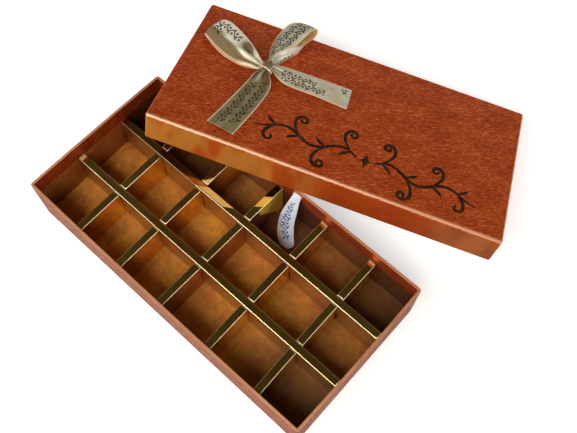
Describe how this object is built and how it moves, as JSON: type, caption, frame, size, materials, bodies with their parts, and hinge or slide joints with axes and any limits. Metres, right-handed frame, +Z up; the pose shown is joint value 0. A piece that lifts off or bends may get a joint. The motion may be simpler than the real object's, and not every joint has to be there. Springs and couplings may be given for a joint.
{
  "type": "chocolate box",
  "caption": "Open rigid gift box for chocolates: a tray with a gold card partition grid, and its wrapped lid with a ribbon bow, laid askew over the tray's far side.",
  "frame": {"origin": "centre of the underside of the tray", "axes": "+X along the tray's long side, +Y towards the side that the lid lies over, +Z up"},
  "size_m": [0.295, 0.3064, 0.0804],
  "materials": {
    "wrap_paper": "embossed copper-brown gift wrap, satin",
    "greyboard": "uncoated greyboard",
    "stay_tape": "gummed kraft tape",
    "brown_lining": "glossy brown lining paper",
    "gold_card": "mirror gold foil on card",
    "inside_paper": "plain lining paper",
    "ribbon": "cream satin ribbon with a dark printed pattern",
    "glue": "clear hot-melt glue"
  },
  "bodies": {
    "tray": {"tray_board": "greyboard", "tray_corner_tapes": "stay_tape", "tray_wrap": "wrap_paper", "tray_lining": "brown_lining", "tray_floor_sheet": "brown_lining", "tray_base_sheet": "inside_paper", "divider_long_far": "gold_card", "divider_cross_1": "gold_card", "divider_cross_2": "gold_card", "divider_cross_3": "gold_card", "divider_cross_4": "gold_card", "divider_cross_5": "gold_card", "loose_ribbon": "ribbon", "loose_ribbon_patch": "glue"},
    "lid": {"lid_board": "greyboard", "lid_corner_tapes": "stay_tape", "lid_wrap": "wrap_paper", "lid_lining": "inside_paper", "bow_left_loop": "ribbon", "bow_right_loop": "ribbon", "bow_knot": "ribbon", "bow_left_tail": "ribbon", "bow_right_tail": "ribbon", "bow_glue_dot": "glue"},
    "near_divider": {"divider_long_near": "gold_card"}
  },
  "joints": [
    {"name": "lid_lift", "type": "slide", "parent": "tray", "child": "lid", "axis": [0, 0, 1], "range_m": [0, 0.1]},
    {"name": "near_divider_lift", "type": "slide", "parent": "tray", "child": "near_divider", "axis": [0, 0, 1], "range_m": [0, 0.045]}
  ]
}
